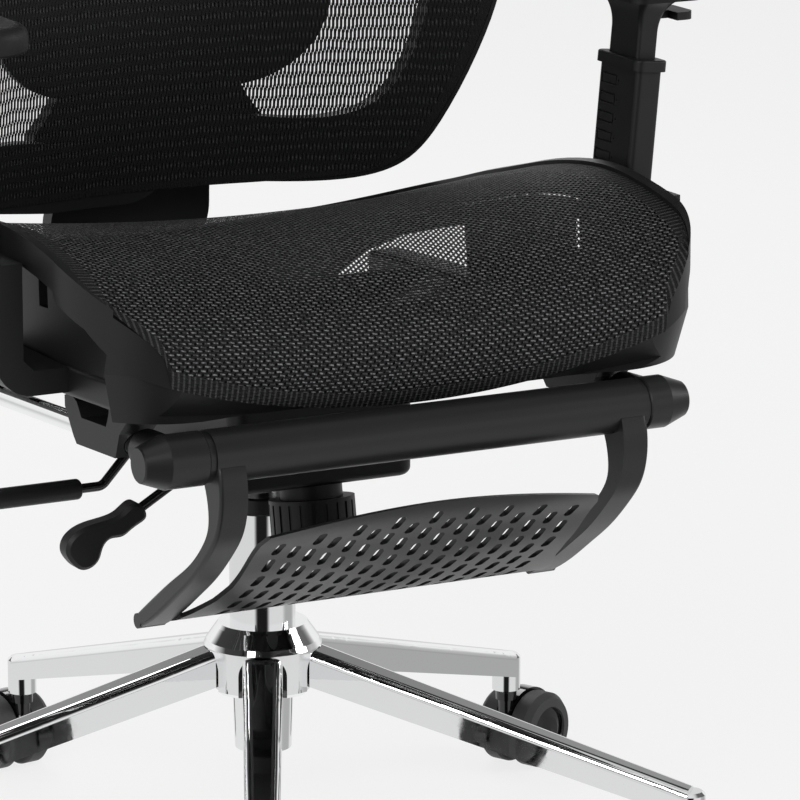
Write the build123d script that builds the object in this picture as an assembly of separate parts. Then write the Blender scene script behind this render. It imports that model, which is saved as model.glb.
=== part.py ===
from build123d import *
import os
from math import asin, atan2, cos, degrees, hypot, pi, radians, sin, sqrt, tan

os.makedirs("parts", exist_ok=True)

# Millimetres. The origin is on the floor, on the axis of the gas lift.
# +X is the viewer's right from the front, the chair faces -Y, +Z is up.

# ---- clearances ----
gap = 0.3                 # between bodies that move past each other
run = 0.06                # radial, between a shaft and its bore

# ---- star base ----
leg_count = 5
leg_heading = -26.5       # of the first leg, turned from straight ahead
leg_root_r = 30
leg_root_half = 15.5
leg_root_top = 188.8
leg_root_depth = 28
leg_tip_half = 11.5
leg_tip_top = 100
leg_tip_depth = 21
leg_edge_r = 7
leg_wall = 4
caster_r = 334.5          # from the lift's axis to a caster's stem
boss_bottom = 68
hub_r = 45
hub_bottom = 152
hub_shoulder = 190
hub_top = 203
hub_rim_r = 34
socket_half = 18.3        # of the arched socket in the hub that a leg grows out of
socket_top = 185.5
socket_floor_r = 37
socket_edge_r = 16

# ---- casters ----
wheel_r = 31
wheel_width = 20
wheel_inner = 7           # half of the space between the two wheels
hub_dome_r = 19
trail = 23.6
axle_r = 4
stem_r = 5
stem_pin_r = 4
stem_top = 90
stem_pin_bottom = 42
caster_headings = [250, 330, 24, 100, 200]

# ---- gas lift ----
tube_r = 25
tube_wall = 2.5
tube_top = 291
tube_foot_r = 21.5
tube_foot = 103
bush_top = 303
cylinder_r = 14
cylinder_wall = 2.5
cylinder_foot = 126
cylinder_taper_from = 311
cylinder_taper_r = 12.8
cylinder_top = 362
rod_r = 5
piston_z = 240

# ---- tilt mechanism ----
housing_half = 75
housing_front = -108
housing_rear = 100
housing_bottom = 331
housing_top = 396
housing_wall = 6
socket_r = 24
tension_tilt = 9.5        # the tension spring leans forwards
tension_y = -74
tension_z = 372
tension_tube_r = 23.3
tension_tube_length = 78
knob_r = 32
knob_height = 33
knob_bottom = 88          # down the spring's axis
knob_ribs = 22
recline_y = 118
recline_z = 368
recline_pin_r = 7
ear_inner = 40
ear_thick = 16

# ---- levers ----
lever_rod_r = 3.6
lever_in = 10             # how far a lever's rod reaches into the housing
lever_pin_r = 3           # the height lever tips on this pin
lever_pin_reach = 9
lever_lift = 2            # upward room for the height lever's rod in the wall
height_lever_y = -90
height_lever_z = 352
recline_lever_y = 0
recline_lever_z = 352
grip_x = -150
grip_z = 323
grip_r = 7.8
grip_length = 98
# outline of the height lever's paddle, (x, z)
paddle_outline = [(-140.5, 323), (-143, 330), (-149.5, 334), (-156, 331), (-161.5, 327), (-170.5, 324),
                  (-187.5, 321), (-197, 317), (-203.5, 310), (-204.5, 303), (-200.5, 295.5),
                  (-192.5, 289), (-184, 290), (-178, 296), (-175.5, 303), (-170, 309), (-160, 310),
                  (-153, 314), (-146, 318)]
paddle_thick = 16

# ---- seat ----
seat_half = 250
seat_front = -263.5
seat_rear = 213
seat_front_corner = 80
seat_rear_corner = 48
seat_sag_r = 1900         # radius of the seat across its width
seat_lip_z = 424
seat_lip_thick = 12
seat_lip_foot = 430       # the wall behind the mesh ends here, clear of the footrest's arms
seat_curl_z = 466         # below this the lip leans in
seat_curl = 15
# what the front lip keeps, seen from the side
seat_lip_side = [(-275, seat_lip_foot), (-225, seat_lip_foot), (-232, 480), (-216, 496), (-180, 512),
                 (-180, 600), (-275, 600)]
seat_lip_r = 600         # radius of the front lip's lower edge
seat_ring_width = 28
# one of the two plates that hang from the rear of the ring, seen from the front
seat_wing = [(84, 480), (84, 408), (150, 404), (170, 418), (196, 434), (226, 442), (226, 480)]
seat_wing_rear = 8        # ahead of the rear edge
seat_wing_thick = 5
seat_ring_thick = 17
seat_mesh_thick = 3
seat_rim_width = 8        # of the frame's rim outside the mesh
seat_rim_proud = 1.5
seat_profile = [(-251, 424), (-259, 438), (-263, 456), (-259, 474), (-247, 489), (-230, 500.5),
                (-200, 515), (-150, 526), (-100, 530.5), (-50, 527), (0, 518), (50, 505.5),
                (100, 493), (150, 479), (200, 466), (226, 459)]
tray_slope = 3.2          # the rails and the carrier's beams run down to the rear
beam_inner = 194
beam_outer = 222
beam_height = 22
beam_above_rail = 30.5
crossbar_top = 439        # of the carrier's rear cross-member
crossbar_rise = 472       # in its middle
side_wall_thick = 6
# outline of the wall on each beam, along and across the rail; the ring rests on it
side_wall = [(62, 40), (62, 130), (450, 130), (450, 63), (446, 64), (377, 78), (331, 87),
             (328, 50), (328, 40)]
side_window = (150, 165, 89, 113)     # cut through each wall, seen the same way
carrier_bottom = housing_top
carrier_thick = 12
screw_r = 4
screw_places = [(-46, -70), (46, -70), (-46, 86), (46, 86)]

# ---- footrest ----
bar_y = -260
bar_z = 406.4
bar_r = 19.3
bar_wall = 3
bar_half = 175.3
cap_ends = {-1: 223, 1: 211}
cap_face_r = 12.5
cap_cones = {-1: 205, 1: 193}      # where each pivot cap starts to taper
pivot_r = 6
rail_x = 192
rail_r = 7.5
rail_wall = 2
rail_length = 342
rail_stop_r = 9.5
neck_r = 14.3
neck_length = 52
guide_outer = 205
guide_inner = 179
# outline of a rail guide from the bar's axis, along and across the rail
guide_outline = [(77, -9.4), (128, -9.4), (143, -9.4), (148, -4), (161, 15.6), (161, 23.6),
                 (148, 25), (140, 21.4), (133, 11), (91, 11), (86, 20.4), (84, beam_above_rail),
                 (50, beam_above_rail), (49, 25.3), (69, 8.5)]
leg_arm_outer = 171
leg_arm_inner = 150
arm_ring = 1.5            # the arm's ring sits this deep in the bar
panel_half = 135
panel_thick = 4
panel_crown = 12
slot_length = 17
slot_width = 6.6
slot_pitch = 29.4
slot_bow = 0.0013         # how far a row bends down, per mm of offset squared
slot_rows = 13
slot_row_pitch = 11.5
slot_first = 18.5
slot_turn = 84
slot_margin = 16          # the panel's sides stay whole
# front surface of the panel from its top edge to its foot
panel_profile = [(-290, 361), (-281, 349), (-262, 332.5), (-241, 312), (-214, 291), (-191, 276),
                 (-170, 265), (-150, 259)]
# front and back edges of a footrest arm, seen from the side, from the bar to its tip
arm_front_edge = [(-279, 402), (-283, 385), (-281.5, 368), (-276, 354), (-259, 334), (-233, 311),
                  (-203, 290), (-176, 272), (-147, 256)]
arm_back_edge = [(-141, 265), (-166, 282), (-200, 304), (-230, 323), (-250, 341), (-260, 357),
                 (-260, 370), (-254, 386)]
arm_tip = (-138, 257)

# ---- armrests ----
post_x = 267              # middle of the post at the height where its lean is counted from
post_lean_z = 531
post_lean = 5.3
post_y = -74
post_depth = 58
post_thick = 22
post_foot = 516
post_top = 617
collar_height = 8.5
collar_out = 3
slider_depth = 43
slider_thick = 17
slider_foot = 524
slider_head = 677
notch_count = 5
notch_pitch = 14.5
notch_length = 22
notch_height = 8.2
notch_groove = 1.2
bracket_front = -143
bracket_rear = -33
bracket_top = 530
bracket_bottom = 434
bracket_foot_top = 452
bracket_bend = 30
pad_half = 40
pad_out = 7.4             # beyond the middle of the slider's head
pad_front = -169
pad_rear = 66
trigger_front = -104
trigger_rear = -64
trigger_inner = 273
trigger_shoulder = 297
trigger_outer = 313
trigger_y = -80
trigger_root = 20
trigger_z = 654
trigger_thick = 6
trigger_lift = 5
trigger_pin_r = 2
trigger_pin_reach = 3
pad_bottom = 680
pad_thick = 20

# ---- backrest ----
wrap_r = 430              # radius of the backrest seen from above
back_profile = [(192, 497), (184, 560), (179, 630), (181, 700), (190, 780), (205, 870),
                (225, 960), (247, 1050)]
back_outline = [(0, 497), (150, 500), (200, 516), (224, 553), (244, 606), (257, 655),
                (263, 725), (258, 820), (244, 910), (222, 980), (178, 1029), (100, 1047), (0, 1050)]
back_window = [(0, 551), (121, 551), (150, 553), (168, 559), (183, 571), (198, 598), (206, 626),
               (213, 660), (218, 725), (214, 820), (200, 905), (178, 962), (140, 996), (80, 1010),
               (0, 1012)]
back_mesh_thick = 2.5
back_ring_thick = 14
lumbar_outline = [(0, 577), (70, 579), (106, 590), (121, 601), (132, 614), (142, 643), (148, 690),
                  (134, 738), (88, 768), (0, 776)]
lumbar_front = 8          # behind the front of the mesh
lumbar_back = 16.5
spine_outline = [(34, 425), (58, 445), (68, 470), (70, 520), (98, 547), (86, 566), (74, 592),
                 (60, 650), (44, 740), (36, 860), (34, 1044)]
spine_front = [(238, 425), (237, 460), (227, 497), (211, 532)]
spine_thick = 15
bracket_arm_half = 34
bracket_arm_thick = 22

# ---- headrest ----
head_bottom = 1098
head_top = 1236
head_half = 148
head_y = 224
head_wrap_r = 330
head_stem_half = 17
head_stem_thick = 7
head_stem_y = 282
head_lean = 11
head_pivot_z = 1160

nodes = {}


def turned(x, y, angle):
    """A plan point turned about the lift's axis."""
    a = radians(angle)
    return x * cos(a) - y * sin(a), x * sin(a) + y * cos(a)


def rod_z(r, z0, z1, x=0, y=0):
    """An upright cylinder from z0 to z1."""
    return Pos(x, y, (z0 + z1) / 2) * Cylinder(r, z1 - z0)


def rod_x(r, x0, x1, y=0, z=0):
    """A cylinder along X."""
    return Pos((x0 + x1) / 2, y, z) * Rot(0, 90, 0) * Cylinder(r, x1 - x0)


def rod_y(r, y0, y1, x=0, z=0):
    """A cylinder along Y."""
    return Pos(x, (y0 + y1) / 2, z) * Rot(90, 0, 0) * Cylinder(r, y1 - y0)


def block(x0, x1, y0, y1, z0, z1):
    return Pos((x0 + x1) / 2, (y0 + y1) / 2, (z0 + z1) / 2) * Box(x1 - x0, y1 - y0, z1 - z0)


def side_face(*edges):
    """A closed outline drawn in the (Y, Z) plane, as a face on X = 0."""
    return Plane.YZ * make_face(Curve() + [*edges])


def side_prism(points, x0, x1):
    """A polygon of (y, z) points, from x0 to x1."""
    return Pos(x0, 0, 0) * extrude(side_face(Polyline(*points, close=True)), x1 - x0)


def front_prism(points, y0, y1):
    """A polygon of (x, z) points, from y0 to y1."""
    face = Plane.XZ * make_face(Polyline(*points, close=True))
    return Pos(0, y1, 0) * extrude(face, y1 - y0)


def shifted(points, distance):
    """The points of an open line moved sideways, to the right of its direction if positive."""
    moved = []
    for i, (u, v) in enumerate(points):
        before = points[max(i - 1, 0)]
        after = points[min(i + 1, len(points) - 1)]
        du, dv = after[0] - before[0], after[1] - before[1]
        size = hypot(du, dv)
        moved.append((u + dv / size * distance, v - du / size * distance))
    return moved


def strip_face(points, near, far):
    """A band that follows a side profile, between two offsets from it."""
    first, second = shifted(points, near), shifted(points, far)
    return side_face(Spline(*first), Line(first[-1], second[-1]),
                     Spline(*reversed(second)), Line(second[0], first[0]))


def closed_half(points):
    """A smooth closed (x, z) outline from its right half."""
    left = [(-x, z) for x, z in reversed(points[1:-1])]
    return make_face(Spline(*points, *left, periodic=True))


# ---------------------------------------------------------------- star base

def leg_section(r, half, top, depth, edge):
    """A leg's upright section at radius r, with its top edges rounded."""
    plane = Plane(origin=(r, 0, top - depth / 2), x_dir=(0, 1, 0), z_dir=(1, 0, 0))
    sketch = Rectangle(2 * half, depth)
    upper = sketch.vertices().sort_by(Axis.Y)[-2:]
    return plane * fillet(upper, edge)


def one_leg():
    slope = (leg_tip_top - leg_root_top) / (caster_r - leg_root_r)
    body = loft([leg_section(leg_root_r, leg_root_half, leg_root_top, leg_root_depth, leg_edge_r),
                 leg_section(caster_r, leg_tip_half, leg_tip_top, leg_tip_depth, leg_edge_r)])
    groove_r = hub_r + 12
    groove_end = caster_r - leg_tip_half - 6

    def inner(r):
        share = (r - leg_root_r) / (caster_r - leg_root_r)
        half = leg_root_half + share * (leg_tip_half - leg_root_half) - leg_wall
        top = leg_root_top + slope * (r - leg_root_r) - leg_wall
        return leg_section(r, half, top, leg_root_depth + leg_wall, leg_edge_r - leg_wall)

    body -= loft([inner(groove_r), inner(groove_end)])
    end = rod_z(leg_tip_half, boss_bottom, leg_tip_top - 2.2, caster_r)
    end = chamfer(end.edges().sort_by(Axis.Z)[-1], 2.5)
    arch = leg_section(socket_floor_r, socket_half, socket_top, socket_top - hub_bottom + 2, socket_edge_r)
    bore = rod_z(stem_r, boss_bottom - 1, stem_top, caster_r)
    return body + end, extrude(arch, 12), bore


def star_base():
    hub = revolve(side_face(Polyline(
        (0, hub_bottom), (hub_r - 3, hub_bottom), (hub_r, hub_bottom + 3), (hub_r, hub_shoulder - 4),
        (hub_r - 2, hub_shoulder), (hub_rim_r + 2, hub_top - 3), (hub_rim_r, hub_top), (0, hub_top),
        close=True)), Axis.Z)
    leg, socket, bore = one_leg()
    turns = [Rot(0, 0, leg_heading - 90 + i * 360 / leg_count) for i in range(leg_count)]
    result = hub
    for turn in turns:
        result -= turn * socket
    for turn in turns:
        result += turn * leg
    for turn in turns:
        result -= turn * bore
    return result - lift_tube_outer()


def stem_place(i):
    return turned(caster_r, 0, leg_heading - 90 + i * 360 / leg_count)


def caster_stems():
    stems = []
    for i in range(leg_count):
        x, y = stem_place(i)
        stem = rod_z(stem_r, boss_bottom - 1.2, stem_top, x, y)
        collar = rod_z(stem_r + 2, boss_bottom - 1.2, boss_bottom, x, y)
        pin = rod_z(stem_pin_r, stem_pin_bottom, boss_bottom - 1.2, x, y)
        stems.append(stem + collar + pin)
    return stems


def caster(i):
    """The turning body of a caster and its pair of wheels, with the stem at the local origin."""
    top = boss_bottom - 1.5
    neck_r = wheel_inner + 1.5
    web = Pos(trail, 0, wheel_r) * Rot(90, 0, 0) * Cylinder(wheel_r - 4, 2 * wheel_inner - 1)
    barrel = rod_z(wheel_inner - 0.5, stem_pin_bottom - 6, top)
    fender = Pos(trail, 0, wheel_r) * Rot(90, 0, 0) * Cylinder(wheel_r + 2, 2 * wheel_inner - 1)
    fender &= block(-9, trail + wheel_r * 0.8, -wheel_inner, wheel_inner, wheel_r, 2 * wheel_r + 3)
    neck = rod_z(neck_r, top - 7, top) - rod_y(wheel_r + gap, -neck_r, neck_r, trail, wheel_r)
    body = web + barrel + fender + neck
    body -= rod_z(stem_pin_r + run, stem_pin_bottom - gap, top + 1)
    body -= rod_y(axle_r + run, -wheel_inner, wheel_inner, trail, wheel_r)

    half = wheel_width / 2
    profile = Polyline((0, 0), (wheel_r - 1.5, 0), (wheel_r, 1.5), (wheel_r, wheel_width - 6),
                       (wheel_r - 4, wheel_width - 1), (hub_dome_r + 1, wheel_width),
                       (hub_dome_r, wheel_width - 2.5), (hub_dome_r * 0.6, wheel_width - 0.6),
                       (0, wheel_width), close=True)
    wheel = revolve(Plane.XZ * make_face(profile), Axis.Z)
    far_wheel = Pos(trail, wheel_inner, wheel_r) * Rot(-90, 0, 0) * wheel
    near_wheel = Pos(trail, -wheel_inner, wheel_r) * Rot(90, 0, 0) * wheel
    axle = rod_y(axle_r, -wheel_inner, wheel_inner, trail, wheel_r)
    x, y = stem_place(i)
    place = Pos(x, y, 0) * Rot(0, 0, caster_headings[i])
    return place * body, place * (far_wheel + near_wheel + axle)


# ---------------------------------------------------------------- gas lift

def lift_tube_outer():
    """The tube's outside, which also cuts the hub's tapered socket."""
    return revolve(side_face(Polyline(
        (0, tube_foot), (tube_foot_r - 1, tube_foot), (tube_foot_r, tube_foot + 1),
        (tube_r, hub_top), (tube_r, tube_top - 1), (tube_r - 1, tube_top), (0, tube_top),
        close=True)), Axis.Z)


def gas_lift():
    floor_top = tube_foot + 3
    inner_r = tube_foot_r - tube_wall
    tube = lift_tube_outer() - rod_z(inner_r, floor_top, tube_top + 1)
    tube -= rod_z(tube_r - tube_wall, hub_top + 12, tube_top + 1)
    tube -= rod_z(rod_r + run, tube_foot - 1, floor_top + 1)

    bush = rod_z(tube_r - tube_wall, hub_top + 14, tube_top) + rod_z(tube_r - 1, tube_top, bush_top)
    bush -= rod_z(cylinder_r + run, hub_top, bush_top + 1)
    bush = chamfer(bush.edges().group_by(Axis.Z)[-1].sort_by(SortBy.LENGTH)[-1], 1.5)

    ring_r = inner_r - 4
    lower = rod_z(ring_r, floor_top, floor_top + 1.6) - rod_z(rod_r + 1, 0, 200)
    upper = rod_z(ring_r, floor_top + 5.6, floor_top + 7.2) - rod_z(rod_r + 1, 0, 200)
    balls = []
    for i in range(8):
        x, y = turned((ring_r + rod_r + 1) / 2, 0, i * 45)
        balls.append(Pos(x, y, floor_top + 3.6) * Sphere(1.95))

    seat_z = floor_top + 7.2
    rod = rod_z(rod_r, tube_foot - 5, piston_z)
    rod += rod_z(ring_r - 2, seat_z, seat_z + 3)
    rod += rod_z(cylinder_r - cylinder_wall - run, piston_z, piston_z + 10)
    rod += rod_z(rod_r + 3, tube_foot - 4, tube_foot - 2)

    cylinder = rod_z(cylinder_r, cylinder_foot, cylinder_taper_from)
    cylinder += revolve(side_face(Polyline(
        (0, cylinder_taper_from), (cylinder_r, cylinder_taper_from), (cylinder_taper_r, cylinder_top),
        (0, cylinder_top), close=True)), Axis.Z)
    cylinder += rod_z(4, cylinder_top, cylinder_top + 6)
    cylinder -= rod_z(cylinder_r - cylinder_wall, cylinder_foot + 14, cylinder_top - 12)
    cylinder -= rod_z(rod_r + run, cylinder_foot - 1, cylinder_foot + 15)
    return tube, bush, [lower, upper, *balls], rod, cylinder


# ---------------------------------------------------------------- tilt mechanism

def tension_place():
    """The tension spring's axis: local -Z runs down it from the housing."""
    return Pos(0, tension_y, tension_z) * Rot(-tension_tilt, 0, 0)


def mechanism():
    shell = block(-housing_half, housing_half, housing_front, housing_rear, housing_bottom, housing_top)
    shell = fillet(shell.edges().filter_by(Axis.Z), 14)
    shell = fillet(shell.faces().sort_by(Axis.Z)[0].edges(), 6)
    shell -= block(housing_wall - housing_half, housing_half - housing_wall, housing_front + housing_wall,
                   housing_rear - housing_wall, housing_bottom + housing_wall, housing_top - housing_wall)
    socket = rod_z(socket_r, cylinder_taper_from + 2, housing_top - housing_wall)
    socket += revolve(side_face(Polyline(
        (0, housing_bottom - 8), (socket_r, housing_bottom - 8), (socket_r + 10, housing_bottom + 1),
        (0, housing_bottom + 1), close=True)), Axis.Z)
    taper = revolve(side_face(Polyline(
        (0, cylinder_taper_from - 20), (cylinder_r, cylinder_taper_from - 20),
        (cylinder_r, cylinder_taper_from), (cylinder_taper_r, cylinder_top),
        (0, cylinder_top), close=True)), Axis.Z)
    shell += socket
    shell -= taper + rod_z(7, cylinder_top - 1, housing_top - housing_wall)

    floor = housing_bottom + housing_wall
    tube = tension_place() * Pos(0, 0, -tension_tube_length / 2) * Cylinder(tension_tube_r,
                                                                            tension_tube_length)
    tube -= block(-60, 60, -200, 0, floor, 500)
    space = tension_place() * Pos(0, 0, -tension_tube_length / 2) * Cylinder(tension_tube_r - 4,
                                                                             tension_tube_length + 9)
    shell += tube
    shell -= space - block(-60, 60, -200, 0, floor + 0.5, 500)

    ear = [(housing_rear - 12, housing_bottom + 4), (recline_y + 8, recline_z - 17),
           (recline_y + 16, recline_z), (recline_y + 12, recline_z + 14),
           (housing_rear - 12, housing_top - 2)]
    for side in (-1, 1):
        near, far = sorted((side * ear_inner, side * (ear_inner + ear_thick)))
        shell += side_prism(ear, near, far)
    shell -= rod_x(recline_pin_r, -100, 100, recline_y, recline_z)
    wall = (-housing_half - 1, housing_wall - housing_half + 1)
    shell -= rod_x(lever_rod_r + run, *wall, recline_lever_y, recline_lever_z)
    for z in (height_lever_z, height_lever_z + lever_lift):
        shell -= rod_x(lever_rod_r + gap, *wall, height_lever_y, z)
    for x, y in screw_places:
        shell -= rod_z(screw_r, housing_top - housing_wall - 1, housing_top + 1, x, y)
    return shell


def tension_parts():
    """The coil spring and the draw bolt that the knob turns on."""
    wire, turns = 2.4, 6
    spring_r = tension_tube_r - 4 - wire - gap
    height = tension_tube_length - 20
    helix = Helix(pitch=height / turns, height=height, radius=spring_r)
    section = Plane(origin=helix @ 0, z_dir=helix % 0) * Circle(wire)
    foot = 8 - tension_tube_length
    coil = tension_place() * Pos(0, 0, foot) * sweep(section, path=helix)
    bolt_foot = -knob_bottom + 6
    bolt_top = foot + height + wire + 2
    bolt = Pos(0, 0, (bolt_foot + bolt_top) / 2) * Cylinder(4, bolt_top - bolt_foot)
    bolt += Pos(0, 0, bolt_top) * Cylinder(tension_tube_r - 5, 4)
    return coil, tension_place() * bolt


def tension_knob():
    """A ribbed collar that wraps the foot of the spring's tube."""
    outer = Cylinder(knob_r, knob_height)
    outer = chamfer(outer.edges().sort_by(Axis.Z)[0], 3)
    cup = Pos(0, 0, 9) * Cylinder(tension_tube_r + gap, knob_height)
    knob = outer - cup - Cylinder(4 + run, knob_height + 2)
    for i in range(knob_ribs):
        groove = Pos(knob_r, 0, 2) * Box(2.2, 2.6, knob_height - 10)
        knob -= Rot(0, 0, i * 360 / knob_ribs) * groove
    return tension_place() * Pos(0, 0, knob_height / 2 - knob_bottom) * knob


def bent_rod(points, bend, r):
    """A round rod along straight runs joined by arcs."""
    path = FilletPolyline(*points, radius=bend)
    start = Plane(origin=path @ 0, z_dir=path % 0)
    return sweep(start * Circle(r), path=path)


def levers():
    inner = lever_in - housing_half
    y, z = height_lever_y, height_lever_z
    height_rod = bent_rod([(inner, y, z), (-housing_half - 26, y, z), (-158, y, 319)], 12, lever_rod_r)
    height_rod += rod_y(lever_pin_r, y - lever_pin_reach, y + lever_pin_reach, inner, z)
    paddle = Pos(0, y + paddle_thick / 2, 0) * extrude(
        Plane.XZ * make_face(Spline(*paddle_outline, periodic=True)), paddle_thick)
    flats = paddle.faces().sort_by(Axis.Y)
    paddle = chamfer(flats[0].edges() + flats[-1].edges(), 2.5)
    paddle -= height_rod

    y, z = recline_lever_y, recline_lever_z
    recline_rod = bent_rod([(inner, y, z), (-housing_half - 30, y, z), (-132, y, grip_z),
                            (grip_x - 14, y, grip_z)], 9, lever_rod_r)
    grip = rod_x(grip_r, grip_x - grip_length, grip_x, y, grip_z)
    grip = fillet(grip.edges(), 3)
    return height_rod, paddle, recline_rod, grip - recline_rod


# ---------------------------------------------------------------- seat

def seat_prism(inset, front_inset=None):
    """An upright block inside the seat's plan outline."""
    half = seat_half - inset
    front = seat_front + (inset if front_inset is None else front_inset)
    rear = seat_rear - inset
    sketch = Pos(0, (front + rear) / 2) * Rectangle(2 * half, rear - front)
    sketch = fillet(sketch.vertices().sort_by(Axis.Y)[:2], seat_front_corner - inset)
    sketch = fillet(sketch.vertices().sort_by(Axis.Y)[-2:], seat_rear_corner - inset)
    return Pos(0, 0, 380) * extrude(sketch, 220)


def across_seat(near, far):
    """A band under the seat's top surface, curved across the seat."""
    axis_z = max(z for _, z in seat_profile) + seat_sag_r
    reach = degrees(asin((seat_half + 8) / seat_sag_r))
    axis = Axis((0, 0, axis_z), (0, 1, 0))
    face = strip_face(seat_profile, near, far).rotate(axis, -reach)
    return revolve(face, axis, 2 * reach)


def seat_lip_trim():
    """What lies below the mesh's curved front edge."""
    keep = rod_y(seat_lip_r, -300, -200, 0, seat_lip_z + seat_lip_r)
    return block(-300, 300, -300, -200, 380, 520) - keep


def lip_block(inset):
    """The space inside the seat's outline, leaning in below the curl."""
    half = seat_half - inset
    front = seat_front + inset
    sketch = Pos(0, (front + seat_rear) / 2) * Rectangle(2 * half, seat_rear - front)
    sketch = fillet(sketch.vertices().sort_by(Axis.Y)[:2], seat_front_corner - inset)
    upper = Pos(0, 0, seat_curl_z) * extrude(sketch, 120)
    return upper + extrude(Pos(0, 0, seat_curl_z) * sketch, -70, taper=seat_curl)


def seat_lip():
    """The wall that hangs from the front of the ring and runs round both corners."""
    lip = lip_block(0.8) - lip_block(seat_lip_thick)
    lip &= side_prism(seat_lip_side, -seat_half - 5, seat_half + 5)
    lip -= across_seat(-60, seat_mesh_thick + 1)
    return lip.solids().sort_by(Axis.Z)[0]


def seat_frame():
    under = seat_mesh_thick + seat_ring_thick
    ring = across_seat(seat_mesh_thick, under) & (seat_prism(0) - seat_prism(seat_ring_width))
    rim = across_seat(-seat_rim_proud, seat_mesh_thick)
    rim &= seat_prism(0) - seat_prism(seat_rim_width, -5)
    frame = seat_lip() + (ring + rim - seat_lip_trim())
    rear = seat_rear - seat_wing_rear
    for side in (-1, 1):
        wing = front_prism([(side * x, z) for x, z in seat_wing], rear - seat_wing_thick, rear)
        frame += wing - across_seat(-60, seat_mesh_thick + 4)
    return frame


def seat_mesh():
    return (across_seat(0, seat_mesh_thick) & seat_prism(seat_rim_width, -5)) - seat_lip_trim()


def tray():
    """The sloping frame of the rails and beams, with its origin on the footrest bar's axis."""
    return Pos(0, bar_y, bar_z) * Rot(-tray_slope, 0, 0)


def seat_carrier():
    """Side beams joined by a plate that bolts to the mechanism, with gussets up to the seat's ring."""
    plate = block(-108, 108, -92, 112, carrier_bottom, carrier_bottom + carrier_thick)
    carrier = fillet(plate.edges().filter_by(Axis.Z), 16)
    outrigger = [(96, carrier_bottom), (beam_inner + 4, 427), (beam_inner + 4, 437),
                 (96, carrier_bottom + carrier_thick)]
    crossbar = [(-beam_inner - 4, 427), (-96, carrier_bottom), (96, carrier_bottom),
                (beam_inner + 4, 427), (beam_inner + 4, crossbar_top), (60, crossbar_top), (46, crossbar_rise),
                (-46, crossbar_rise), (-60, crossbar_top), (-beam_inner - 4, crossbar_top)]
    front, rear = 26, seat_rear - bar_y - 16
    gussets = [(26, beam_above_rail + 8), (14, 60), (30, 96), (62, 110), (80, 70), (90, 40)]
    beams = None
    for side in (-1, 1):
        near, far = sorted((side * beam_inner, side * beam_outer))
        beam = block(near, far, front, rear, beam_above_rail, beam_above_rail + beam_height)
        beam = fillet(beam.edges().filter_by(Axis.Y), 4)
        near, far = sorted((side * (beam_inner + 2), side * (beam_outer - 2)))
        beam += side_prism(gussets, near, far)
        near, far = sorted((side * (beam_outer - 2 - side_wall_thick), side * (beam_outer - 2)))
        beam += side_prism(side_wall, near, far) - block(near, far, *side_window)
        beams = beam if beams is None else beams + beam
    beams = tray() * beams
    beams -= across_seat(-60, seat_mesh_thick + seat_ring_thick)
    beams &= lip_block(seat_lip_thick + 0.4)
    carrier += beams
    for side in (-1, 1):
        points = [(side * x, z) for x, z in outrigger]
        carrier += front_prism(points, -84, -30)
        carrier += front_prism(points, 50, 98)
    carrier += front_prism(crossbar, 96, 104)
    for x, y in screw_places:
        carrier -= rod_z(screw_r, 0, 500, x, y)
    return carrier


def seat_screws():
    """Four screws with their heads on top of the carrier's plate."""
    screws = []
    top = carrier_bottom + carrier_thick
    for x, y in screw_places:
        head = rod_z(7.5, top, top + 4.5, x, y) - rod_z(3.2, top + 1.5, top + 5, x, y)
        screws.append(head + rod_z(screw_r, housing_top - housing_wall, top, x, y))
    return screws


# ---------------------------------------------------------------- footrest

def rail_guide(side):
    near, far = sorted((side * guide_inner, side * guide_outer))
    guide = side_prism(guide_outline, near, far)
    return tray() * (guide - rod_y(rail_r + gap, 40, 200, side * rail_x, 0))


def rail(side):
    """A chromed tube that carries the pivot cap and slides in its guide."""
    tube = rod_y(rail_r, 4, rail_length, side * rail_x)
    tube -= rod_y(rail_r - rail_wall, 3, rail_length - 6, side * rail_x)
    tube += rod_y(rail_stop_r, rail_length - 6, rail_length, side * rail_x)
    return tray() * tube - pivot_cap_blank(side)


def pivot_cap_blank(side):
    start = bar_half + gap
    end, cone = cap_ends[side], cap_cones[side]
    profile = Polyline((start, 0), (start, bar_r - 1), (start + 1, bar_r), (cone, bar_r),
                       (end - 1, cap_face_r + 0.5), (end, cap_face_r - 0.5), (end, 0), close=True)
    blank = revolve(Plane.XY * make_face(profile), Axis.X)
    blank += rod_y(neck_r, 0, neck_length, rail_x)
    if side < 0:
        blank = mirror(blank, Plane.YZ)
    return tray() * blank


def pivot_cap(side):
    cap = pivot_cap_blank(side)
    near, far = sorted((side * (bar_half - 1), side * (bar_half + 26)))
    return cap - rod_x(pivot_r, near, far, bar_y, bar_z)


def footrest_axle():
    reach = bar_half + 26
    return rod_x(pivot_r, -reach, reach, bar_y, bar_z)


def footrest_bar():
    bar = rod_x(bar_r, -bar_half, bar_half, bar_y, bar_z)
    bar -= rod_x(bar_r - bar_wall, -bar_half + 14, bar_half - 14, bar_y, bar_z)
    core = rod_x(bar_r - arm_ring, -bar_half, bar_half, bar_y, bar_z)
    bar &= core + rod_x(bar_r, -leg_arm_inner, leg_arm_inner, bar_y, bar_z)
    return bar - rod_x(pivot_r + run, -bar_half - 1, bar_half + 1, bar_y, bar_z)


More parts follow.
